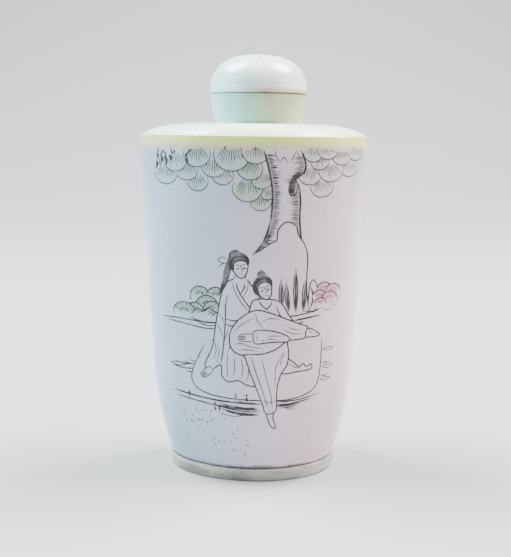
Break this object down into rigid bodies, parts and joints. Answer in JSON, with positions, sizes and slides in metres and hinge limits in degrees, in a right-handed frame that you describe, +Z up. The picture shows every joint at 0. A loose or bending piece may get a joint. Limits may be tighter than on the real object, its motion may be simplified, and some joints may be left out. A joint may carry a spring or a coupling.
{
  "type": "snuff bottle",
  "caption": "Oval bone snuff bottle that tapers to a flat foot, with a domed shoulder, a flaring neck and a lift-out knob stopper. An incised, inked picture covers its front.",
  "frame": {"origin": "middle of the underside of the foot, which is the middle of the bounding box's bottom face", "axes": "+Z up through the stopper; +X to the right seen from the front; the picture faces -Y"},
  "size_m": [0.04, 0.026, 0.075],
  "materials": {
    "white_bone": "polished bone, incised and inked on the front",
    "yellow_bone": "polished bone, yellowed on the rim",
    "turned_bone": "turned and polished bone",
    "grey_bone": "worn grey-green bone with dirt in the joint"
  },
  "bodies": {
    "root": {"foot": "grey_bone", "body": "white_bone", "shoulder": "yellow_bone", "neck": "turned_bone", "stopper": "turned_bone"}
  },
  "joints": []
}
